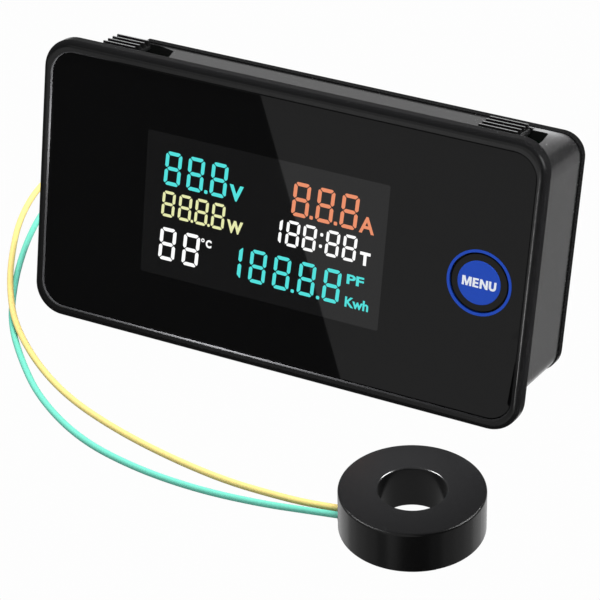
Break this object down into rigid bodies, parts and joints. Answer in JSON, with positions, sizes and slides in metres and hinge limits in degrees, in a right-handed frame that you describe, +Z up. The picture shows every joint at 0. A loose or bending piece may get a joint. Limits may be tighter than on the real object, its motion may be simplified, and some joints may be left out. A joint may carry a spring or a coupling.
{
  "type": "panel meter",
  "caption": "Black panel-mount mains meter with a multi-row digital display, a round blue menu key, spring clips and an external ring current transformer on two leads.",
  "frame": {"origin": "middle of the footprint of meter and ring, on the table", "axes": "+X along the front panel to the right, +Y backwards from the front panel, +Z up; the meter leans back about 12 degrees on its flange and rear cover edges"},
  "size_m": [0.1169, 0.0949, 0.0485],
  "materials": {
    "bezel_gloss": "polished black ABS rim",
    "panel_gloss": "mirror-flat black front sheet",
    "adhesive": "thin black foam tape",
    "button_blue": "satin blue print",
    "lcd_glass": "polished glass",
    "light_guide": "clear moulded acrylic",
    "white_plastic": "moulded nylon",
    "tinned_metal": "tin-plated",
    "circuit_board": "green solder mask",
    "component_black": "moulded epoxy",
    "body_matt": "fine spark texture, black",
    "cover_black": "smooth black",
    "clip_black": "smooth black moulding",
    "screw_steel": "zinc-plated",
    "film_capacitor": "yellow box",
    "capacitor_sleeve": "dark blue sleeve",
    "terminal_green": "black polyamide",
    "brass": "nickel-free brass",
    "ring_black": "satin black moulding",
    "core_iron": "wound strip core",
    "copper_wire": "enamelled copper",
    "lead_yellow": "PVC insulation",
    "lead_green": "PVC insulation"
  },
  "bodies": {
    "meter": {"backlight_guide": "light_guide", "backlight_leds": "light_guide", "board_connector": "component_black", "board_screws": "screw_steel", "body_shell": "body_matt", "burden_resistors": "component_black", "button_ring": "button_blue", "connector_pins": "tinned_metal", "cover_screws": "screw_steel", "ct_case": "ring_black", "ct_core": "core_iron", "ct_lead_bush": "ring_black", "ct_lid": "ring_black", "ct_winding": "copper_wire", "display_board": "circuit_board", "display_holder": "white_plastic", "electrolytic_capacitor": "capacitor_sleeve", "film_capacitor": "film_capacitor", "front_bezel": "bezel_gloss", "front_panel": "panel_gloss", "fuse": "tinned_metal", "lcd_glass": "lcd_glass", "lcd_pins": "tinned_metal", "lead_green": "lead_green", "lead_yellow": "lead_yellow", "main_board": "circuit_board", "measuring_chips": "component_black", "panel_adhesive": "adhesive", "plug_contacts": "tinned_metal", "rear_cover": "cover_black", "ring_plug": "white_plastic", "ring_socket": "white_plastic", "socket_pins": "tinned_metal", "surge_suppressor": "capacitor_sleeve", "tact_switch": "component_black", "terminal_contacts": "tinned_metal", "terminal_housing": "terminal_green"},
    "menu_key": {"menu_button": "panel_gloss", "button_disc": "button_blue", "switch_plunger": "white_plastic"},
    "clip_top_left": {"snap_clip_top_left": "clip_black"},
    "clip_top_right": {"snap_clip_top_right": "clip_black"},
    "clip_bottom_left": {"snap_clip_bottom_left": "clip_black"},
    "clip_bottom_right": {"snap_clip_bottom_right": "clip_black"},
    "screw_l": {"clamp_screw_l": "screw_steel"},
    "screw_n": {"clamp_screw_n": "screw_steel"},
    "cage_l": {"clamp_cage_l": "brass"},
    "cage_n": {"clamp_cage_n": "brass"}
  },
  "joints": [
    {"name": "menu_press", "type": "slide", "parent": "meter", "child": "menu_key", "axis": [0, 0.9773, -0.2118], "range_m": [0, 0.0005], "stiffness_N_per_m": 1500},
    {"name": "clip_top_left_flex", "type": "hinge", "parent": "meter", "child": "clip_top_left", "pos_m": [-0.04315, 0.02225, 0.04205], "axis": [0, 0.9773, -0.2118], "range_deg": [0, 8], "stiffness_Nm_per_rad": 0.6},
    {"name": "clip_top_right_flex", "type": "hinge", "parent": "meter", "child": "clip_top_right", "pos_m": [0.02615, 0.02225, 0.04205], "axis": [0, 0.9773, -0.2118], "range_deg": [0, 8], "stiffness_Nm_per_rad": 0.6},
    {"name": "clip_bottom_left_flex", "type": "hinge", "parent": "meter", "child": "clip_bottom_left", "pos_m": [-0.04315, 0.01374, 0.00279], "axis": [0, -0.9773, 0.2118], "range_deg": [0, 8], "stiffness_Nm_per_rad": 0.6},
    {"name": "clip_bottom_right_flex", "type": "hinge", "parent": "meter", "child": "clip_bottom_right", "pos_m": [0.02615, 0.01374, 0.00279], "axis": [0, -0.9773, 0.2118], "range_deg": [0, 8], "stiffness_Nm_per_rad": 0.6},
    {"name": "screw_l_turn", "type": "hinge", "parent": "meter", "child": "screw_l", "pos_m": [0.01069, 0.03374, 0.01483], "axis": [0, -0.9773, 0.2118], "range_deg": [0, 1440]},
    {"name": "cage_l_lift", "type": "slide", "parent": "meter", "child": "cage_l", "axis": [0, 0.9773, -0.2118], "range_m": [0, 0.0018]},
    {"name": "screw_n_turn", "type": "hinge", "parent": "meter", "child": "screw_n", "pos_m": [0.01831, 0.03374, 0.01483], "axis": [0, -0.9773, 0.2118], "range_deg": [0, 1440]},
    {"name": "cage_n_lift", "type": "slide", "parent": "meter", "child": "cage_n", "axis": [0, 0.9773, -0.2118], "range_m": [0, 0.0018]}
  ],
  "couplings": [
    {"joint": "screw_l_turn", "follows": "cage_l_lift", "rad_per_m": 13962},
    {"joint": "screw_n_turn", "follows": "cage_n_lift", "rad_per_m": 13962}
  ]
}
